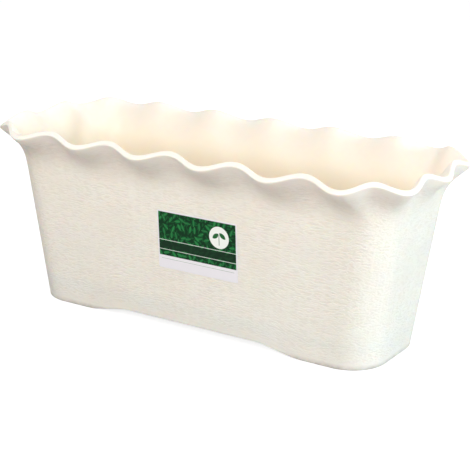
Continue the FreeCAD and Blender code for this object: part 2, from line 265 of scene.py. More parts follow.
# %% A group for a Bezier curve
bezier = Diagram(
    "Bezier",
    {
        "Start": (0.0, 0.0, 0.0),
        "Pull 1": (0.0, 0.0, 0.0),
        "Pull 2": (0.0, 0.0, 0.0),
        "End": (0.0, 0.0, 0.0),
        "Share": 0.0,
    },
    {"Point": "NodeSocketVector"},
)
share = bezier.inputs["Share"]
rest = 1.0 - share
bezier.finish(
    Point=bezier.inputs["Start"] * (rest * rest * rest)
    + bezier.inputs["Pull 1"] * (rest * rest * share * 3.0)
    + bezier.inputs["Pull 2"] * (rest * share * share * 3.0)
    + bezier.inputs["End"] * (share * share * share)
)
print("nodes in the Bezier group:", len(bezier.tree.nodes))

# %% [markdown]
# ## The tub
# The real tub is injection moulded: one skin about 2 mm thick, with draft so that it leaves the
# mould, a flare at the top, and a rim that swings in and out and up and down eighteen times on
# its way round. It could be sculpted or pushed about by hand, but its shape follows a rule, so a
# Geometry Nodes tree makes it. A flat grid of points is rolled up: its columns run round the
# tub and its rows run along the section, from under the floor, over the rim, to the floor
# inside. These are the sizes that the CAD model was drawn from. Only the rim's squareness, the
# arch's softness and the number of columns belong to this mesh alone.

# %% The tub's sizes
TUB = {
    "Base Length": 430 * MM,
    "Base Width": 132 * MM,
    "Base Corner": 41 * MM,
    "Base Round": 1.5 * MM,
    "Skirt": 4 * MM,
    "Side Slope": math.tan(math.radians(4)),
    "End Slope": math.tan(math.radians(7.5)),
    "Wall": 2.3 * MM,
    "Flare Start": 150 * MM,
    "Lip Length": 511 * MM,
    "Lip Width": 210 * MM,
    "Lip Corner": 67 * MM,
    "Lip Height": 200 * MM,
    "Lip Lean": math.radians(45),
    "Rim Thickness": 6.5 * MM,
    "Rim Squareness": 0.55,
    "Wave Out": 4 * MM,
    "Wave Up": 4.1 * MM,
    "Wave Fade": 0.5,
    "Side Waves": 5,
    "End Waves": 2,
    "Corner Wave": 65 * MM,
    "Corner Lead": 8 * MM,
    "Floor Clear": 12 * MM,
    "Floor Top": 15 * MM,
    "Floor Cove": 6 * MM,
    "Arch Rise": 8.5 * MM,
    "Arch Flat": 176 * MM,
    "Arch Ramp": 44 * MM,
    "Arch Softness": 2.8 * MM,
    "Drain Bore": 18 * MM,
    "Drain Spacing": 240 * MM,
    "Columns per Quarter": 108,
}
print("sizes:", len(TUB))

# %% [markdown]
# The rows are shared out between the parts of the section. Each entry below is a part of the
# section, the number of rows it gets, and about how long it is. The lengths add up to a second
# coordinate that runs along the section, which the finish uses later to tell the outside of the
# wall from the rim and the inside.

# %% The section's parts
SECTION = [
    ("ceiling under the floor", 2, 62 * MM),
    ("skirt inside", 2, 12 * MM),
    ("standing edge", 1, 2.5 * MM),
    ("rounded foot", 4, 2.4 * MM),
    ("outside wall", 14, 150 * MM),
    ("outside flare", 16, 58 * MM),
    ("rim edge", 18, 11 * MM),
    ("inside flare", 16, 56 * MM),
    ("inside wall", 10, 130 * MM),
    ("cove", 5, 9.4 * MM),
    ("floor", 2, 57 * MM),
]
rows = sum(steps for _, steps, _ in SECTION)
reach = {}
run = 0.0
for part, _, length in SECTION:
    reach[part] = (run, run + length)
    run += length
print("rows:", rows, "section length in mm:", round(run / MM))

# %% [markdown]
# `around` is a share of the way round, from the middle of the front. Folded back and forth four
# times it becomes the travel along one quarter of the rim, which gives the three shares for the
# outline group and the phase of the wave: five waves on a long side, one that hugs each corner,
# and two on an end. The swing is +1 where the rim leans out and dips, and -1 where it stands in
# and rises.

# %% Walk round the rim
tub = Diagram(
    "Wavy Tub", {**TUB, "Finish": "NodeSocketMaterial"}, {"Tub": "NodeSocketGeometry"}
)
tub_in = tub.inputs
sheet = tub.node(
    "GeometryNodeMeshGrid",
    {
        "Size X": 1.0,
        "Size Y": 1.0,
        "Vertices X": tub_in["Columns per Quarter"] * 4 + 1,
        "Vertices Y": rows + 1,
    },
)
flat_x, flat_y, _ = tub.wire("GeometryNodeInputPosition").parts()
around = flat_x + 0.5
row = (flat_y + 0.5) * float(rows)

straight_x = tub_in["Lip Length"] / 2.0 - tub_in["Lip Corner"]
straight_y = tub_in["Lip Width"] / 2.0 - tub_in["Lip Corner"]
corner_arc = tub_in["Lip Corner"] * (math.pi / 2)
quarter = straight_x + corner_arc + straight_y
travel = (around * 4.0).math("PINGPONG", 1.0) * quarter
shares = {
    "Along Side": (travel / straight_x).clamped(),
    "Round Corner": ((travel - straight_x) / corner_arc).clamped(),
    "Along End": ((travel - straight_x - corner_arc) / straight_y).clamped(),
    "Quarter": tub.joined(
        1.0 - around.math("GREATER_THAN", 0.5) * 2.0,
        around.math("COMPARE", 0.5, 0.25) * 2.0 - 1.0,
        1.0,
    ),
}
wave_from = straight_x + tub_in["Corner Lead"]
wave_to = wave_from + tub_in["Corner Wave"]
phase = (
    (travel / wave_from).clamped() * tub_in["Side Waves"] * 0.5
    + ((travel - wave_from) / tub_in["Corner Wave"]).clamped()
    + ((travel - wave_to) / (quarter - wave_to)).clamped() * tub_in["End Waves"] * 0.5
)
swing = -(phase * (2 * math.pi)).math("COSINE")
print("nodes so far:", len(tub.tree.nodes))

# %% [markdown]
# Two kinds of ring shape the section. A wall ring is the outline at some height, drawn in by an
# inset. A lip ring runs beside the rim's middle line, which the wave carries out and down; it is
# placed across the rim's thickness, and along the 45 degree direction in which the wall ends.


# %% Rings of the wall and of the lip
def wall_ring(height, inset):
    point, _ = tub.group(
        rounded_outline,
        {
            "Half Length": tub_in["Base Length"] / 2.0 + tub_in["End Slope"] * height - inset,
            "Half Width": tub_in["Base Width"] / 2.0 + tub_in["Side Slope"] * height - inset,
            "Corner": tub_in["Base Corner"] - inset,
            **shares,
        },
    )
    return point + tub.joined(0.0, 0.0, height)


def lip_ring(across, along, waviness):
    point, outward = tub.group(
        rounded_outline,
        {
            "Half Length": tub_in["Lip Length"] / 2.0,
            "Half Width": tub_in["Lip Width"] / 2.0,
            "Corner": tub_in["Lip Corner"],
            **shares,
        },
    )
    lean_out = tub_in["Lip Lean"].math("SINE")
    lean_up = tub_in["Lip Lean"].math("COSINE")
    swung = swing * waviness
    out = swung * tub_in["Wave Out"] + lean_out * along + lean_up * across
    up = tub_in["Lip Height"] - swung * tub_in["Wave Up"] + lean_up * along - lean_out * across
    return point + outward * out + tub.joined(0.0, 0.0, up)


half_rim = tub_in["Rim Thickness"] / 2.0
run_out = (tub_in["Lip Height"] - tub_in["Flare Start"]) / 2.0


def flare(half_thickness, inset):
    """The four rings that a flare's curve runs between."""
    return [
        wall_ring(tub_in["Flare Start"], inset),
        wall_ring(tub_in["Flare Start"] + run_out, inset),
        lip_ring(half_thickness, -run_out, tub_in["Wave Fade"]),
        lip_ring(half_thickness, 0.0, 1.0),
    ]


outside = flare(half_rim, 0.0)
inside = flare(-half_rim, tub_in["Wall"])
print("nodes so far:", len(tub.tree.nodes))

# %% [markdown]
# Between its end feet the tub's long sides are cut away a little, so that water can run out
# from under it. The cut is a level line with a slope at each end. Smooth minimum and maximum
# round it off where the slope meets the level parts.

# %% The height of the standing edge
base_x, _, _ = wall_ring(0.0, 0.0).parts()
from_foot = tub_in["Arch Flat"] / 2.0 + tub_in["Arch Ramp"] - base_x.math("ABSOLUTE")
ramp = from_foot * tub_in["Arch Rise"] / tub_in["Arch Ramp"]
level_part = ramp.math("SMOOTH_MIN", tub_in["Arch Rise"], tub_in["Arch Softness"])
foot_height = level_part.math("SMOOTH_MAX", 0.0, tub_in["Arch Softness"])
foot_height = foot_height * (travel / straight_x).math("LESS_THAN", 1.0)
print("arch rise in mm:", TUB["Arch Rise"] / MM)

# %% [markdown]
# Now the parts of the section, in order. Every part is a formula of its own share of the rows,
# and a Switch node hands over from one part to the next, row by row.

# %% The parts as formulas


def straight(start, end):
    return lambda share: start + (end - start) * share


def curve(rings):
    labels = ["Start", "Pull 1", "Pull 2", "End"]
    return lambda share: tub.group(bezier, {**dict(zip(labels, rings)), "Share": share})[0]


def quarter_round(radius, low, inset, hollow):
    """A quarter circle between a level face and the wall above it."""

    def place(share):
        angle = share * (math.pi / 2)
        if hollow:
            up, back = 1.0 - angle.math("SINE"), 1.0 - angle.math("COSINE")
        else:
            up, back = 1.0 - angle.math("COSINE"), 1.0 - angle.math("SINE")
        return wall_ring(low + radius * up, inset + radius * back)

    return place


def over_the_rim(share):
    """Round the rim's edge. A power below 1 squares off the half circle."""
    angle = share * math.pi
    across = angle.math("COSINE")
    side = across.math("SIGN")
    across = across.math("ABSOLUTE").math("POWER", tub_in["Rim Squareness"]) * side * half_rim
    along = angle.math("SINE").math("MAXIMUM", 0.0).math("POWER", tub_in["Rim Squareness"]) * half_rim
    return lip_ring(across, along, 1.0)


ceiling_edge = wall_ring(tub_in["Floor Clear"], tub_in["Skirt"])
spine_x = tub_in["Base Length"] / 2.0 - tub_in["Base Width"] / 2.0
spine, _ = tub.group(
    rounded_outline, {"Half Length": spine_x, "Half Width": 0.0, "Corner": 0.0, **shares}
)
skirt_foot = wall_ring(foot_height, tub_in["Skirt"])
outer_foot = wall_ring(foot_height, tub_in["Base Round"])
wall_foot = wall_ring(foot_height + tub_in["Base Round"], 0.0)
floor_edge = wall_ring(tub_in["Floor Top"], tub_in["Wall"] + tub_in["Floor Cove"])
cove_top = wall_ring(tub_in["Floor Top"] + tub_in["Floor Cove"], tub_in["Wall"])
up_to_ceiling = tub.joined(0.0, 0.0, tub_in["Floor Clear"])
up_to_floor = tub.joined(0.0, 0.0, tub_in["Floor Top"])
formulas = [
    straight(spine + up_to_ceiling, ceiling_edge),
    straight(ceiling_edge, skirt_foot),
    straight(skirt_foot, outer_foot),
    quarter_round(tub_in["Base Round"], foot_height, 0.0, hollow=False),
    straight(wall_foot, outside[0]),
    curve(outside),
    over_the_rim,
    curve(inside[::-1]),
    straight(inside[0], cove_top),
    quarter_round(tub_in["Floor Cove"], tub_in["Floor Top"], tub_in["Wall"], hollow=True),
    straight(floor_edge, spine + up_to_floor),
]
print("parts of the section:", len(formulas))

# %% [markdown]
# The rows are put in place, and each corner of each face is given its two distances, round the
# tub and along the section, as a UV map. The map is stored before the seam is closed, so the
# pattern doesn't smear where the last column meets the first. Merging closes the seam and the
# two floors. Last, two holes are cut, sharp edges are marked, and the finish is set.

# %% Roll up the sheet, close it and cut the drain holes
SEAM_GAP = 2e-6
CRISP_ANGLE = 0.6  # radians; edges that bend more than this stay sharp
rolled_place = None
section_run = None
first_row = 0
for formula, (_, steps, length) in zip(formulas, SECTION):
    part_share = ((row - float(first_row)) / float(steps)).clamped()
    part_place = formula(part_share)
    ran = part_share * length
    if rolled_place is None:
        rolled_place, section_run = part_place, ran
    else:
        past = row.math("GREATER_THAN", float(first_row))
        rolled_place = tub.wire(
            "GeometryNodeSwitch", {0: past, 1: rolled_place, 2: part_place}, input_type="VECTOR"
        )
        section_run = section_run + ran
    first_row += steps

mapped = tub.wire(
    "GeometryNodeStoreNamedAttribute",
    {
        "Geometry": Wire(tub, sheet.outputs["Mesh"]),
        "Name": "wall_map",
        "Value": tub.joined(around * quarter * 4.0, section_run, 0.0),
    },
    data_type="FLOAT2",
    domain="CORNER",
)
rolled = tub.wire("GeometryNodeSetPosition", {"Geometry": mapped, "Position": rolled_place})
closed = tub.wire("GeometryNodeMergeByDistance", {"Geometry": rolled, "Distance": SEAM_GAP})
drills = tub.wire(
    "GeometryNodeMeshCylinder",
    {"Vertices": 64, "Radius": tub_in["Drain Bore"] / 2.0, "Depth": tub_in["Floor Top"] * 2.0},
)
drill_line = tub.node("GeometryNodeMeshLine", {"Count": 2}, mode="OFFSET")
first_drill = tub.joined(tub_in["Drain Spacing"] * -0.5, 0.0, tub_in["Floor Top"])
tub.plug(first_drill, drill_line.inputs["Start Location"])
tub.plug(tub.joined(tub_in["Drain Spacing"], 0.0, 0.0), drill_line.inputs["Offset"])
placed_drills = tub.wire(
    "GeometryNodeInstanceOnPoints", {"Points": Wire(tub, drill_line.outputs[0]), "Instance": drills}
)
cut = tub.wire(
    "GeometryNodeMeshBoolean",
    {"Mesh 1": closed, "Mesh 2": tub.wire("GeometryNodeRealizeInstances", {0: placed_drills})},
    operation="DIFFERENCE",
    solver="EXACT",
)
bend = tub.wire("GeometryNodeInputMeshEdgeAngle")
soft = tub.wire("GeometryNodeSetShadeSmooth", {"Geometry": cut, "Shade Smooth": True}, domain="FACE")
crisp = tub.wire(
    "GeometryNodeSetShadeSmooth",
    {"Geometry": soft, "Selection": bend.math("GREATER_THAN", CRISP_ANGLE), "Shade Smooth": False},
    domain="EDGE",
)
whole = tub.wire("GeometryNodeRealizeInstances", {0: crisp})
tub.finish(Tub=tub.wire("GeometryNodeSetMaterial", {"Geometry": whole, "Material": tub_in["Finish"]}))
print("nodes in the tub's tree:", len(tub.tree.nodes))

# %% [markdown]
# A tree needs something to run on. An empty mesh carries it as a modifier for a moment; the
# evaluated result is copied into a plain mesh, and the modifier is taken off again, so what is
# left is an ordinary object at the origin.


# %% Run a tree and keep its mesh
def made_by(diagram, name, settings):
    """An object with the plain mesh that a Geometry Nodes tree makes from these inputs."""
    carrier = bpy.data.objects.new(name, bpy.data.meshes.new(name))
    bpy.context.scene.collection.objects.link(carrier)
    modifier = carrier.modifiers.new("nodes", "NODES")
    modifier.node_group = diagram.tree
    for item in diagram.tree.interface.items_tree:
        if item.in_out == "INPUT" and item.name in settings:
            modifier[item.identifier] = settings[item.name]
    depsgraph = bpy.context.evaluated_depsgraph_get()
    mesh = bpy.data.meshes.new_from_object(
        carrier.evaluated_get(depsgraph), preserve_all_data_layers=True, depsgraph=depsgraph
    )
    mesh.name = name
    carrier.modifiers.remove(modifier)
    carrier.data = mesh
    return carrier


def report(piece):
    places = [piece.matrix_world @ vertex.co for vertex in piece.data.vertices]
    spans = [(max(values) - min(values)) / MM for values in zip(*places)]
    triangles = sum(len(face.vertices) - 2 for face in piece.data.polygons)
    print(piece.name, "mm:", [round(span, 1) for span in spans], "triangles:", triangles)


print("trees can be run")

# %% [markdown]
# ## Finishes
# Every finish is a material with one Principled shader, fed by small groups that several
# finishes share. Colours are written as they look on a screen, so they are changed to the
# linear light values that a shader works in.


# %% Colours, and a material's own diagram
def paint(red, green, blue):
    """A screen colour, 0 to 255, as linear light."""
    linear = []
    for value in (red, green, blue):
        value /= 255
        linear.append(value / 12.92 if value <= 0.04045 else ((value + 0.055) / 1.055) ** 2.4)
    return (*linear, 1.0)


class Finish(Diagram):
    """A material and its node tree, round one Principled shader."""

    def __init__(self, name, **constants):
        self.material = bpy.data.materials.new(name)
        self.material.use_nodes = True
        self.tree = self.material.node_tree
        self.tree.nodes.clear()
        self.shader = self.node("ShaderNodeBsdfPrincipled")
        self.exit = self.node("ShaderNodeOutputMaterial")
        self.tree.links.new(self.shader.outputs[0], self.exit.inputs[0])
        for label, value in constants.items():
            self.shader.inputs[label.replace("_", " ")].default_value = value

    def blend_of(self, share, low, high):
        """One colour turning into another."""
        return self.wire(
            "ShaderNodeMix", {0: share, 6: low, 7: high}, output=2, data_type="RGBA"
        )

    def bumped(self, height, depth, strength=1.0, under=None):
        plugs = {"Strength": strength, "Distance": depth, "Height": height}
        if under is not None:
            plugs["Normal"] = under
        return self.wire("ShaderNodeBump", plugs)

    def shade(self, **plugs):
        for label, value in plugs.items():
            self.plug(value, self.shader.inputs[label.replace("_", " ")])
        return self.material


print("cream as linear light:", [round(value, 3) for value in paint(243, 236, 222)[:3]])

# %% [markdown]
# The outside of the tub carries short wrinkles that lie level, as if a rough tool had been
# dragged along the pattern that the mould was made from. Noise that is stretched along the wall
# gives them: a thin ridge runs wherever the noise passes through its middle value, and a second,
# finer set breaks them up.


# %% A group for drag wrinkles
def noise(diagram, place, detail=2.0, dimensions="2D"):
    return diagram.wire(
        "ShaderNodeTexNoise",
        {"Vector": place, "Scale": 1.0, "Detail": detail},
        noise_dimensions=dimensions,
    )


wrinkles = Diagram(
    "Drag Wrinkles",
    {"Place": (0.0, 0.0, 0.0), "Length": 0.01, "Spacing": 0.002, "Waver": 0.35},
    {"Height": "NodeSocketFloat"},
    kind="ShaderNodeTree",
)
wrinkle_in = wrinkles.inputs
MIDDLE = 0.5  # noise wanders round this value
RIDGE_FLANK = 0.2  # how far from the middle a ridge ends
DRIFT_SCALE = 0.5  # the drift is twice as long as a wrinkle
DRIFT_ROWS = 4.0  # spacings of drift, from end to end, at a waver of 1
FINER_ALONG, FINER_UP = 1.9, 2.1
PATCH_ALONG, PATCH_UP = 0.22, 0.09
FINE_SHIFT, PATCH_SHIFT = 31.0, 7.0  # read from elsewhere in the noise, so nothing lines up
WEAKEST_PATCH = 0.6
FINE_SHARE = 0.3
along, up, _ = wrinkle_in["Place"].parts()
run_along = along / wrinkle_in["Length"]
slow_place = wrinkles.joined(run_along * DRIFT_SCALE, up / wrinkle_in["Length"] * DRIFT_SCALE, 0.0)
drift = noise(wrinkles, slow_place)
level_up = up / wrinkle_in["Spacing"] + (drift - MIDDLE) * wrinkle_in["Waver"] * DRIFT_ROWS
coarse = noise(wrinkles, wrinkles.joined(run_along, level_up, 0.0), detail=1.0)
fine_place = wrinkles.joined(run_along * FINER_ALONG + FINE_SHIFT, level_up * FINER_UP, 0.0)
fine = noise(wrinkles, fine_place, detail=1.0)
ridge = (coarse - MIDDLE).math("ABSOLUTE").ramp(RIDGE_FLANK, 0.0)
fine_ridge = (fine - MIDDLE).math("ABSOLUTE").ramp(RIDGE_FLANK, 0.0)
patch_place = wrinkles.joined(run_along * PATCH_ALONG + PATCH_SHIFT, level_up * PATCH_UP, 0.0)
patches = noise(wrinkles, patch_place)
present = patches.ramp(0.35, 0.65) * (1 - WEAKEST_PATCH) + WEAKEST_PATCH
wrinkles.finish(Height=ridge * present * (1 - FINE_SHARE) + fine_ridge * FINE_SHARE)
print("nodes in the wrinkles:", len(wrinkles.tree.nodes))

# %% [markdown]
# Moulded plastic is never one even colour: the flow leaves faint clouds in it, and its skin has
# a grain about half a millimetre across and a few hundredths deep, copied from the mould. Both
# come from one group that the tub, the grid, the plugs and the label's film all use.

# %% A group for moulded skin
skin = Diagram(
    "Moulded Skin",
    {"Place": (0.0, 0.0, 0.0), "Cloud Size": 0.08, "Grain Size": 0.0006},
    {"Cloud": "NodeSocketFloat", "Grain": "NodeSocketFloat"},
    kind="ShaderNodeTree",
)
skin_in = skin.inputs
cloud = noise(skin, skin_in["Place"].math("DIVIDE", skin_in["Cloud Size"]), detail=3.0, dimensions="3D")
grain = noise(skin, skin_in["Place"].math("DIVIDE", skin_in["Grain Size"]), detail=1.0, dimensions="3D")
skin.finish(Cloud=cloud, Grain=grain)
print("nodes in the skin:", len(skin.tree.nodes))

# %% [markdown]
# A pot is slid about on sills and floors, so the lowest few millimetres of anything that stands
# are rubbed and hold a little dust. The group returns a mask that fades with height. On the tub
# the same mask also paints the shade along the bottom edge, as painted shade.

# %% A group for foot dust and painted shade
foot_dust_and_shade = Diagram(
    "Foot Dust and Shade",
    {"Place": (0.0, 0.0, 0.0), "Reach": 0.006, "Patch Size": 0.01},
    {"Mask": "NodeSocketFloat"},
    kind="ShaderNodeTree",
)
foot_dust_and_shade_in = foot_dust_and_shade.inputs
_, _, height_above_ground = foot_dust_and_shade_in["Place"].parts()
near_ground = height_above_ground.ramp(foot_dust_and_shade_in["Reach"], 0.0)
patchy = noise(foot_dust_and_shade, foot_dust_and_shade_in["Place"].math("DIVIDE", foot_dust_and_shade_in["Patch Size"]), detail=4.0, dimensions="3D")
foot_dust_and_shade.finish(Mask=near_ground * (patchy.ramp(0.3, 0.7) * 0.6 + 0.4))
print("nodes in the dust:", len(foot_dust_and_shade.tree.nodes))

# %% [markdown]
# ### Cream plastic, for the tub
# The `wall_map` says where on the section a point is. Wrinkles cover the outside and fade out
# before the rim, which is smooth; the inside is smooth too, with fine level tool lines. The
# hollows between wrinkles are painted darker than their crests, as painted shade, and are
# rougher. Light goes a few millimetres into this plastic, red furthest. The inside is painted
# warmer and a little darker, as painted shade and bounced light, more so below the flare. Near
# the ground a mask paints dust, and with it painted shade along the bottom edge.

# %% The tub's finish
WRINKLE_DEPTH = 0.36 * MM
TOOL_LINE_DEPTH = 0.05 * MM
GRAIN_DEPTH = 0.03 * MM
HOLLOW_PAINTED_SHADE = 0.28
INSIDE_SHADE_AT_RIM, INSIDE_SHADE_BELOW = 0.15, 0.6
DUST_AND_SHADE_STRENGTH = 0.8
NO_FADE = 1.0  # metres past the section's end, so the inside doesn't fade out there
cream = Finish(
    "cream_plastic",
    IOR=1.47,
    Specular_IOR_Level=0.45,
    Subsurface_Weight=0.45,
    Subsurface_Radius=(1.0, 0.55, 0.3),
    Subsurface_Scale=7 * MM,
)
mapping = cream.wire("ShaderNodeUVMap", uv_map="wall_map")
around_map, section_map, _ = mapping.parts()
cream_place = cream.wire("ShaderNodeTexCoord", output=3)


def between(value, low, high, fade):
    """1 between two limits, fading to 0 outside them."""
    return value.ramp(low, low + fade) * value.ramp(high, high - fade)


outside_mask = between(section_map, reach["outside wall"][0], reach["outside flare"][1], 10 * MM)
inside_mask = between(section_map, reach["inside flare"][0], reach["floor"][1] + NO_FADE, 8 * MM)
(wrinkle,) = cream.group(
    wrinkles, {"Place": mapping, "Length": 13 * MM, "Spacing": 3 * MM, "Waver": 0.15}
)
cloudiness, graininess = cream.group(skin, {"Place": cream_place})
(dust_and_shade,) = cream.group(foot_dust_and_shade, {"Place": cream_place})
tool_place = cream.joined(around_map / (160 * MM), section_map / (1.6 * MM), 0.0)
tool_lines = noise(cream, tool_place, detail=1.0)
wrinkled = wrinkle * outside_mask
tone = cream.blend_of(cloudiness.ramp(0.15, 0.85), paint(241, 234, 223), paint(246, 241, 232))
# painted shade: the hollows between the wrinkles are painted darker
tone = cream.blend_of((outside_mask - wrinkled) * HOLLOW_PAINTED_SHADE, tone, paint(205, 194, 178))
depth_inside = section_map.ramp(*reach["inside flare"])
# painted shade and bounced light: the inside is painted warmer and darker, more so below the flare
painted_inside_shade = inside_mask * (depth_inside * INSIDE_SHADE_BELOW + INSIDE_SHADE_AT_RIM)
tone = cream.blend_of(painted_inside_shade, tone, paint(243, 226, 203))
# dust and painted shade: darker towards the ground, standing in for the shade along the bottom edge
tone = cream.blend_of(dust_and_shade * DUST_AND_SHADE_STRENGTH, tone, paint(158, 148, 132))
surface = cream.bumped(graininess, GRAIN_DEPTH, 0.5)
surface = cream.bumped(tool_lines * inside_mask, TOOL_LINE_DEPTH, 0.6, surface)
surface = cream.bumped(wrinkled, WRINKLE_DEPTH, 1.0, surface)
cream_plastic = cream.shade(
    Base_Color=tone,
    Roughness=cloudiness * 0.10 + 0.40 - wrinkled * 0.06 + dust_and_shade * 0.2,
    Normal=surface,
)
print("nodes in the cream finish:", len(cream.tree.nodes))

# %% Make the tub
planter = made_by(tub, "tub_moulding", {**TUB, "Finish": cream_plastic})
report(planter)
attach(planter, "tub")
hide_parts("planter_tub")

# %% [markdown]
# ## The drain grid
# The grid is a plate with two rows of slots, standing on eight round legs, and it lifts out.
# Slots and legs repeat, so this is a tree too: the plate's outline and its slots are curves,
# filled as one flat face and drawn up into a plate, and the legs are one round post set out
# on a lattice of points.

# %% The grid's sizes
GRID_LOW, GRID_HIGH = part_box("drain_grid")
GRID = {
    "Length": GRID_HIGH.x - GRID_LOW.x,
    "Width": GRID_HIGH.y - GRID_LOW.y,
    "Corner": 37.2 * MM,
    "Thickness": 2.5 * MM,
    "Underside": GRID_LOW.z + 15 * MM,
    "Leg Height": 15 * MM,
    "Leg Diameter": 9 * MM,
    "Leg Columns": 4,
    "Leg Reach": 342 * MM,
    "Leg Rows Apart": 80 * MM,
    "Slot Length": 42 * MM,
    "Slot Width": 5 * MM,
    "Slot Columns": 20,
    "Slot Reach": 361 * MM,
    "Slot Rows Apart": 52 * MM,
}
print("grid in mm:", round(GRID["Length"] / MM, 1), "x", round(GRID["Width"] / MM, 1))

# %% The plate with its slots
grating = Diagram(
    "Drain Grid", {**GRID, "Finish": "NodeSocketMaterial"}, {"Grid": "NodeSocketGeometry"}
)
grid_in = grating.inputs


def rounded_loop(length, width, corner, steps):
    """A closed rectangle with rounded corners, as a curve."""
    loop = grating.wire("GeometryNodeCurvePrimitiveQuadrilateral", {"Width": length, "Height": width})
    return grating.wire(
        "GeometryNodeFilletCurve",
        {"Curve": loop, "Count": steps, "Radius": corner, "Limit Radius": True},
        mode="POLY",
    )


def lattice(length, width, columns):
    """Points in two rows."""
    return grating.wire(
        "GeometryNodeMeshGrid",
        {"Size X": length, "Size Y": width, "Vertices X": columns, "Vertices Y": 2},
    )


def joined_geometry(*pieces):
    joint = grating.node("GeometryNodeJoinGeometry")
    for piece in pieces:
        grating.tree.links.new(piece.socket, joint.inputs[0])
    return Wire(grating, joint.outputs[0])


SLOT_CORNER = 0.8 * MM
slot_loop = rounded_loop(grid_in["Slot Width"], grid_in["Slot Length"], SLOT_CORNER, 3)
slots = grating.wire(
    "GeometryNodeInstanceOnPoints",
    {
        "Points": lattice(grid_in["Slot Reach"], grid_in["Slot Rows Apart"], grid_in["Slot Columns"]),
        "Instance": slot_loop,
    },
)
plate_loop = rounded_loop(grid_in["Length"], grid_in["Width"], grid_in["Corner"], 16)
loops = grating.wire("GeometryNodeRealizeInstances", {0: joined_geometry(plate_loop, slots)})
face = grating.wire("GeometryNodeFillCurve", {"Curve": loops}, mode="TRIANGLES")
drawn_up = grating.wire(
    "GeometryNodeExtrudeMesh",
    {
        "Mesh": face,
        "Offset": grating.joined(0.0, 0.0, 1.0),
        "Offset Scale": grid_in["Thickness"],
        "Individual": False,
    },
)
underside = grating.wire("GeometryNodeFlipFaces", {"Mesh": face})
plate = grating.wire(
    "GeometryNodeMergeByDistance",
    {"Geometry": joined_geometry(drawn_up, underside), "Distance": 1e-6},
)
print("nodes so far:", len(grating.tree.nodes))

# %% The legs, and the whole grid
post = grating.node(
    "GeometryNodeMeshCylinder",
    {
        "Vertices": 32,
        "Side Segments": 1,
        "Fill Segments": 2,
        "Radius": grid_in["Leg Diameter"] / 2.0,
        "Depth": grid_in["Leg Height"],
    },
)
legs = grating.wire(
    "GeometryNodeInstanceOnPoints",
    {
        "Points": lattice(grid_in["Leg Reach"], grid_in["Leg Rows Apart"], grid_in["Leg Columns"]),
        "Instance": Wire(grating, post.outputs["Mesh"]),
    },
)
lowered = grating.wire(
    "GeometryNodeTransform",
    {
        "Geometry": grating.wire("GeometryNodeRealizeInstances", {0: legs}),
        "Translation": grating.joined(0.0, 0.0, grid_in["Leg Height"] * -0.5),
    },
)
lifted = grating.wire(
    "GeometryNodeTransform",
    {
        "Geometry": joined_geometry(plate, lowered),
        "Translation": grating.joined(0.0, 0.0, grid_in["Underside"]),
    },
)
realized = grating.wire("GeometryNodeRealizeInstances", {0: lifted})
grating.finish(
    Grid=grating.wire("GeometryNodeSetMaterial", {"Geometry": realized, "Material": grid_in["Finish"]})
)
print("nodes in the grid's tree:", len(grating.tree.nodes))

# %% [markdown]
# The grid's plastic is like the tub's, a little greyer because it is moulded from reground
# pellets, with a coarser grain and a little dust on its legs.

# %% The grid's finish and the grid
reground = Finish("grid_plastic", IOR=1.47, Specular_IOR_Level=0.4)
grid_place = reground.wire("ShaderNodeTexCoord", output=3)
cloudiness, graininess = reground.group(
    skin, {"Place": grid_place, "Cloud Size": 30 * MM, "Grain Size": 0.9 * MM}
)
(dust_and_shade,) = reground.group(foot_dust_and_shade, {"Place": grid_place, "Reach": 22 * MM})
tone = reground.blend_of(cloudiness.ramp(0.2, 0.8), paint(214, 204, 186), paint(226, 218, 201))
tone = reground.blend_of(dust_and_shade * 0.4, tone, paint(150, 139, 122))
grid_plastic = reground.shade(
    Base_Color=tone,
    Roughness=cloudiness * 0.15 + 0.42,
    Normal=reground.bumped(graininess, 0.06 * MM, 0.7),
)
grid = made_by(grating, "drain_grid_plate", {**GRID, "Finish": grid_plastic})
soften = grid.modifiers.new("soft edges", "BEVEL")
soften.width = 0.35 * MM
soften.segments = 2
soften.limit_method = "ANGLE"
soften.angle_limit = math.radians(40)
report(grid)
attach(grid, "grid")
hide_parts("drain_grid")

# %% [markdown]
# ## The plugs
# The CAD plugs already have the right shape, a flange, a tapered shank and a bar to pull by, so
# they stay. Their rubber is a brown-grey, dull and slightly clouded, with a fine grain.

# %% Rubber for the plugs
rubber = Finish("plug_rubber", IOR=1.5, Specular_IOR_Level=0.35)
rubber_place = rubber.wire("ShaderNodeTexCoord", output=3)
cloudiness, graininess = rubber.group(
    skin, {"Place": rubber_place, "Cloud Size": 12 * MM, "Grain Size": 0.5 * MM}
)
(dust_and_shade,) = rubber.group(foot_dust_and_shade, {"Place": rubber_place, "Reach": 12 * MM})
tone = rubber.blend_of(cloudiness, paint(112, 103, 93), paint(134, 124, 112))
tone = rubber.blend_of(dust_and_shade * 0.5, tone, paint(168, 158, 142))
plug_rubber = rubber.shade(
    Base_Color=tone,
    Roughness=cloudiness * 0.2 + 0.6,
    Normal=rubber.bumped(graininess, 0.05 * MM, 0.8),
)
plugs = [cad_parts[f"drain_plug_{side}"] for side in ("left", "right")]
for plug in plugs:
    for slot in plug.material_slots:
        slot.link = "OBJECT"
        slot.material = plug_rubber
print("plugs finished:", len(plugs))

# %% [markdown]
# ## The label
# The label is a printed film stuck on the front wall, a little right of its middle. It is modelled
# as a real sheet, a fifth of a millimetre thick, with its corners cut round and the faint
# unevenness that a stuck film has. The mesh is dense near the edges, where the corners turn.

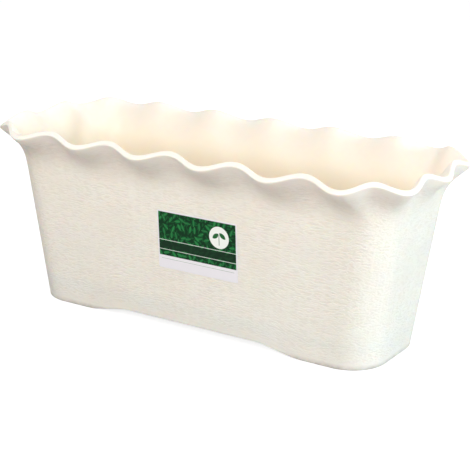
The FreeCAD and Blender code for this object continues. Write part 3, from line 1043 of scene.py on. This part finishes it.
# %% The label's sheet
LABEL = {"width": 100 * MM, "height": 65 * MM, "centre x": 15 * MM, "centre height": 103 * MM}
FILM_THICKNESS = 0.18 * MM
FILM_GAP = 0.06 * MM
CORNER = 1.6 * MM
CORNER_STEPS = 6
MIDDLE_STEP = 3 * MM
RIPPLE = 0.02 * MM
lean = math.atan(TUB["Side Slope"])
wall_y = -(TUB["Base Width"] / 2 + LABEL["centre height"] * TUB["Side Slope"])
wall_out = Vector((0, -math.cos(lean), -math.sin(lean)))
wall_up = Vector((0, -math.sin(lean), math.cos(lean)))
label_centre = Vector((LABEL["centre x"], wall_y, LABEL["centre height"]))


def edge_dense(length):
    """Distances across the sheet, close together near both edges."""
    near = [CORNER * step / CORNER_STEPS for step in range(CORNER_STEPS + 1)]
    between_corners = length - 2 * CORNER
    steps = round(between_corners / MIDDLE_STEP)
    middle = [CORNER + between_corners * step / steps for step in range(1, steps)]
    return near + middle + [length - value for value in reversed(near)]


def cut_round(x, y):
    """Pull a point in to the rounded corner where it lies outside it."""
    inner_x = min(max(x, CORNER), LABEL["width"] - CORNER)
    inner_y = min(max(y, CORNER), LABEL["height"] - CORNER)
    offset = Vector((x - inner_x, y - inner_y))
    if offset.length > 0 and min(abs(offset.x), abs(offset.y)) > 0:
        offset *= max(abs(offset.x), abs(offset.y)) / offset.length
    return inner_x + offset.x, inner_y + offset.y


across = edge_dense(LABEL["width"])
up_label = edge_dense(LABEL["height"])
print("label points:", len(across), "x", len(up_label))

# %% Stick the sheet on the wall
points, faces, points_on_print = [], [], []
layers = [FILM_GAP, FILM_GAP + FILM_THICKNESS]
for standing in layers:
    for y in up_label:
        for x in across:
            cut_x, cut_y = cut_round(x, y)
            ripple = RIPPLE * math.sin(cut_x / (7 * MM)) * math.sin(cut_y / (5 * MM) + 1)
            spot = label_centre + Vector((1, 0, 0)) * (cut_x - LABEL["width"] / 2)
            spot += wall_up * (cut_y - LABEL["height"] / 2) + wall_out * (standing + ripple)
            points.append(spot)
            points_on_print.append((cut_x, cut_y))
columns, lines = len(across), len(up_label)
layer = columns * lines
for line in range(lines - 1):
    for column in range(columns - 1):
        first = line * columns + column
        back = (first, first + columns, first + columns + 1, first + 1)
        faces.append(back)
        faces.append(tuple(corner + layer for corner in reversed(back)))
rim_walk = list(range(columns))
rim_walk += [line * columns + columns - 1 for line in range(1, lines)]
rim_walk += [(lines - 1) * columns + column for column in range(columns - 2, -1, -1)]
rim_walk += [line * columns for line in range(lines - 2, 0, -1)]
for first, second in zip(rim_walk, rim_walk[1:] + rim_walk[:1]):
    faces.append((first, second, second + layer, first + layer))
film = bpy.data.meshes.new("label_film")
film.from_pydata(points, [], faces)
print_map = film.uv_layers.new(name="print_map")
for loop in film.loops:
    print_map.data[loop.index].uv = points_on_print[loop.vertex_index]
label = bpy.data.objects.new("label_film", film)
bpy.context.scene.collection.objects.link(label)
report(label)

# %% [markdown]
# The print is a plain one made for this lesson: a green panel strewn with leaves over a white
# foot, with no words on it. One group draws a leaf in each cell of a Voronoi texture: the
# cell's own random colour turns the leaf, and the leaf's edge is a parabola on each side of its
# midrib.

# %% A group for strewn leaves
leaves = Diagram(
    "Strewn Leaves",
    {"Place": (0.0, 0.0, 0.0), "Spacing": 0.006, "Leaf Length": 0.62, "Leaf Width": 0.26},
    {"Leaf": "NodeSocketFloat", "Midrib": "NodeSocketFloat", "Chance": "NodeSocketFloat"},
    kind="ShaderNodeTree",
)
leaf_in = leaves.inputs
cell_place = leaf_in["Place"].math("DIVIDE", leaf_in["Spacing"])
cells = leaves.node(
    "ShaderNodeTexVoronoi",
    {"Vector": cell_place, "Scale": 1.0, "Randomness": 0.75},
    voronoi_dimensions="2D",
    feature="F1",
)
chance, turning, _ = Wire(leaves, cells.outputs["Color"]).parts()
leaf_x, leaf_y, _ = (cell_place - Wire(leaves, cells.outputs["Position"])).parts()
leaf_angle = turning * (2 * math.pi)
along_leaf = leaf_x * leaf_angle.math("COSINE") + leaf_y * leaf_angle.math("SINE")
across_leaf = leaf_y * leaf_angle.math("COSINE") - leaf_x * leaf_angle.math("SINE")
reached = along_leaf / leaf_in["Leaf Length"]
taper = 1.0 - reached * reached
half_leaf = taper * leaf_in["Leaf Width"]
off_midrib = across_leaf.math("ABSOLUTE")
LEAF_EDGE = 0.07
MIDRIB_OUTER, MIDRIB_INNER = 0.045, 0.02
leaf_mask = (half_leaf - off_midrib).ramp(0.0, LEAF_EDGE)
midrib_mask = off_midrib.ramp(MIDRIB_OUTER, MIDRIB_INNER) * leaf_mask
leaves.finish(Leaf=leaf_mask, Midrib=midrib_mask, Chance=chance)
print("nodes in the leaves:", len(leaves.tree.nodes))

# %% The print
printed = Finish("printed_film", IOR=1.45, Specular_IOR_Level=0.25)
print_place = printed.wire("ShaderNodeUVMap", uv_map="print_map")
print_x, print_y, _ = print_place.parts()
film_place = printed.wire("ShaderNodeTexCoord", output=3)


def block(left, right, low, high, fade=0.12):
    """A rectangle on the print, in millimetres from its lower left corner."""
    wide = between(print_x, left * MM, right * MM, fade * MM)
    return wide * between(print_y, low * MM, high * MM, fade * MM)


def disc(x, y, radius, fade=0.15):
    """A filled circle on the print, in the same millimetres."""
    from_middle = print_place.math("DISTANCE", (x * MM, y * MM, 0.0))
    return from_middle.ramp(radius * MM, (radius - fade) * MM)


SMALL_LEAF_SHIFT = (31.3 * MM, 17.1 * MM, 0.0)
big_leaf, big_rib, big_chance = printed.group(leaves, {"Place": print_place, "Spacing": 7.5 * MM})
small_leaf, small_rib, small_chance = printed.group(
    leaves, {"Place": print_place + SMALL_LEAF_SHIFT, "Spacing": 4.6 * MM}
)
small_strength = small_leaf * (small_chance * 0.6 + 0.3)
green = printed.blend_of(small_strength, paint(4, 50, 24), paint(8, 88, 42))
green = printed.blend_of(small_rib * 0.4, green, paint(60, 112, 64))
leaf_green = printed.blend_of(big_chance, paint(8, 100, 50), paint(20, 124, 60))
green = printed.blend_of(big_leaf * 0.9, green, leaf_green)
green = printed.blend_of(big_rib * 0.5, green, paint(96, 144, 90))
print("print width in mm:", LABEL["width"] / MM)

# %% [markdown]
# Over the leaves lie a plain dark band between two thin white rules, and a round white mark with
# a sprout in it. The sprout's two leaves are each the overlap of two discs. A pale hairline
# crosses the white foot.

# %% The marks on the print, and its finish
PANEL_SIDES = (1.4, 98.6)
MARK_CENTRE = (78, 46.5)
MARK_RADIUS = 12.2
MARK_MARGIN = 1.0
band = block(*PANEL_SIDES, 22.5, 31)
rules = block(*PANEL_SIDES, 31.8, 32.4) + block(*PANEL_SIDES, 21.1, 21.7)
ring = disc(*MARK_CENTRE, MARK_RADIUS)
inside_ring = disc(*MARK_CENTRE, MARK_RADIUS - MARK_MARGIN)
left_blade = disc(71.6, 50.6, 6.0) * disc(76.0, 45.0, 6.0)
right_blade = disc(84.4, 51.6, 6.0) * disc(80.0, 46.0, 6.0)
stem = block(77.6, 78.4, 38, 49.5)
sprout = (left_blade + right_blade + stem).clamped()
design = printed.blend_of(band * 0.9, green, paint(16, 44, 26))
design = printed.blend_of(rules, design, paint(238, 242, 236))
design = printed.blend_of(ring, design, paint(240, 243, 236))
design = printed.blend_of(sprout * inside_ring, design, paint(34, 98, 50))
hairline = block(4, 96, 10.6, 11.1)
paper = printed.blend_of(hairline, paint(235, 232, 235), paint(150, 172, 154))
panel = block(*PANEL_SIDES, 14.4, 63.6)
cloudiness, _ = printed.group(
    skin, {"Place": film_place, "Cloud Size": 20 * MM, "Grain Size": 0.4 * MM}
)
printed_film = printed.shade(
    Base_Color=printed.blend_of(panel, paper, design),
    Roughness=cloudiness * 0.1 + 0.32,
    Normal=printed.bumped(cloudiness, 0.15 * MM, 0.35),
)
label.data.materials.append(printed_film)
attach(label, "tub")
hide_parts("label")
print("nodes in the print:", len(printed.tree.nodes))

# %% [markdown]
# ## Floor and sky
# The planter stands on a floor that looks white, with soft light all round, as in a shop's
# picture. The floor's own colour is a light grey; only to the camera it also glows, so that it
# fades into the background and keeps no more than a trace of the planter's shadow. The sky looks
# white to the camera and to anything that mirrors it, and lights the planter more softly.

# %% The floor and the sky
floor_mesh = bpy.data.meshes.new("floor")
FLOOR_HALF = 9.0
FLOOR_DROP = 0.2 * MM  # a hair below the feet, so no two faces share a plane
FLOOR_GLOW = 0.8
floor_mesh.from_pydata(
    [(x * FLOOR_HALF, y * FLOOR_HALF, 0) for x, y in ((-1, -1), (1, -1), (1, 1), (-1, 1))],
    [],
    [(0, 1, 2, 3)],
)
floor = bpy.data.objects.new("floor", floor_mesh)
bpy.context.scene.collection.objects.link(floor)
floor.location.z = -FLOOR_DROP
whitewash = Finish("floor_white", Base_Color=paint(175, 175, 175), Roughness=0.9)
seen = whitewash.wire("ShaderNodeLightPath", output=0)
whitewash.shade(Emission_Color=(1.0, 1.0, 1.0, 1.0), Emission_Strength=seen * FLOOR_GLOW)
floor_mesh.materials.append(whitewash.material)
floor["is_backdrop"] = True

world = bpy.data.worlds.new("studio")
bpy.context.scene.world = world
world.use_nodes = True
sky = world.node_tree
sky.nodes.clear()
path = sky.nodes.new("ShaderNodeLightPath")
lit_by = sky.nodes.new("ShaderNodeBackground")
looks = sky.nodes.new("ShaderNodeBackground")
either = sky.nodes.new("ShaderNodeMixShader")
rays = [sky.nodes.new("ShaderNodeMath") for _ in range(2)]
SKY_STRENGTH = 0.33
lit_by.inputs["Color"].default_value = (1.0, 0.99, 0.975, 1.0)
lit_by.inputs["Strength"].default_value = SKY_STRENGTH
looks.inputs["Color"].default_value = (1.0, 1.0, 1.0, 1.0)
for ray in rays:
    ray.operation = "MAXIMUM"
sky_out = sky.nodes.new("ShaderNodeOutputWorld")
for start, end in [
    (path.outputs["Is Camera Ray"], rays[0].inputs[0]),
    (path.outputs["Is Glossy Ray"], rays[0].inputs[1]),
    (rays[0].outputs[0], rays[1].inputs[0]),
    (path.outputs["Is Transmission Ray"], rays[1].inputs[1]),
    (rays[1].outputs[0], either.inputs[0]),
    (lit_by.outputs[0], either.inputs[1]),
    (looks.outputs[0], either.inputs[2]),
    (either.outputs[0], sky_out.inputs[0]),
]:
    sky.links.new(start, end)
print("sky strength:", SKY_STRENGTH)

# %% [markdown]
# ## The lamps
# Four square lamps face the planter. The strongest, high in front, lights the long wall and
# leaves a soft shade under the lip. A small one stands low on the right: it lights the end wall,
# and the rim keeps most of it off the lower part of the inside. The one overhead is weak, because
# a strong one turned the pale inside white. The one behind lights the back wall and, over the
# rim, the upper inside of the front wall.


# %% Hang the lamps
LAMP_TARGET = Vector((0, 0, 100 * MM))


def softbox(name, place, side, power, colour=(1.0, 1.0, 1.0)):
    """A square lamp that faces the planter."""
    lamp = bpy.data.objects.new(name, bpy.data.lights.new(name, "AREA"))
    bpy.context.scene.collection.objects.link(lamp)
    lamp.location = place
    towards = LAMP_TARGET - lamp.location
    lamp.rotation_euler = towards.to_track_quat("-Z", "Y").to_euler()
    lamp.data.shape = "SQUARE"
    lamp.data.size = side
    lamp.data.energy = power
    lamp.data.color = colour


softbox("overhead", place=(0.35, -0.5, 1.9), side=1.2, power=8)
softbox("right side", place=(1.8, 0.25, 0.38), side=0.5, power=22, colour=(0.82, 0.93, 1.0))
softbox("front fill", place=(0.3, -1.8, 1.1), side=1.2, power=29, colour=(1.0, 0.98, 0.985))
softbox("back light", place=(-0.2, 1.8, 0.9), side=1.2, power=8, colour=(1.0, 0.98, 0.94))
print("lamps:", len(bpy.data.lights))

# %% Finish
visual_box = [list(corner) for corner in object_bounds()]
growth = [
    round(max(cad[0] - visual[0], visual[1] - cad[1]) / MM, 2)
    for cad, visual in zip(zip(*cad_box), zip(*visual_box))
]
print("visual box beyond the CAD box, in mm:", growth)
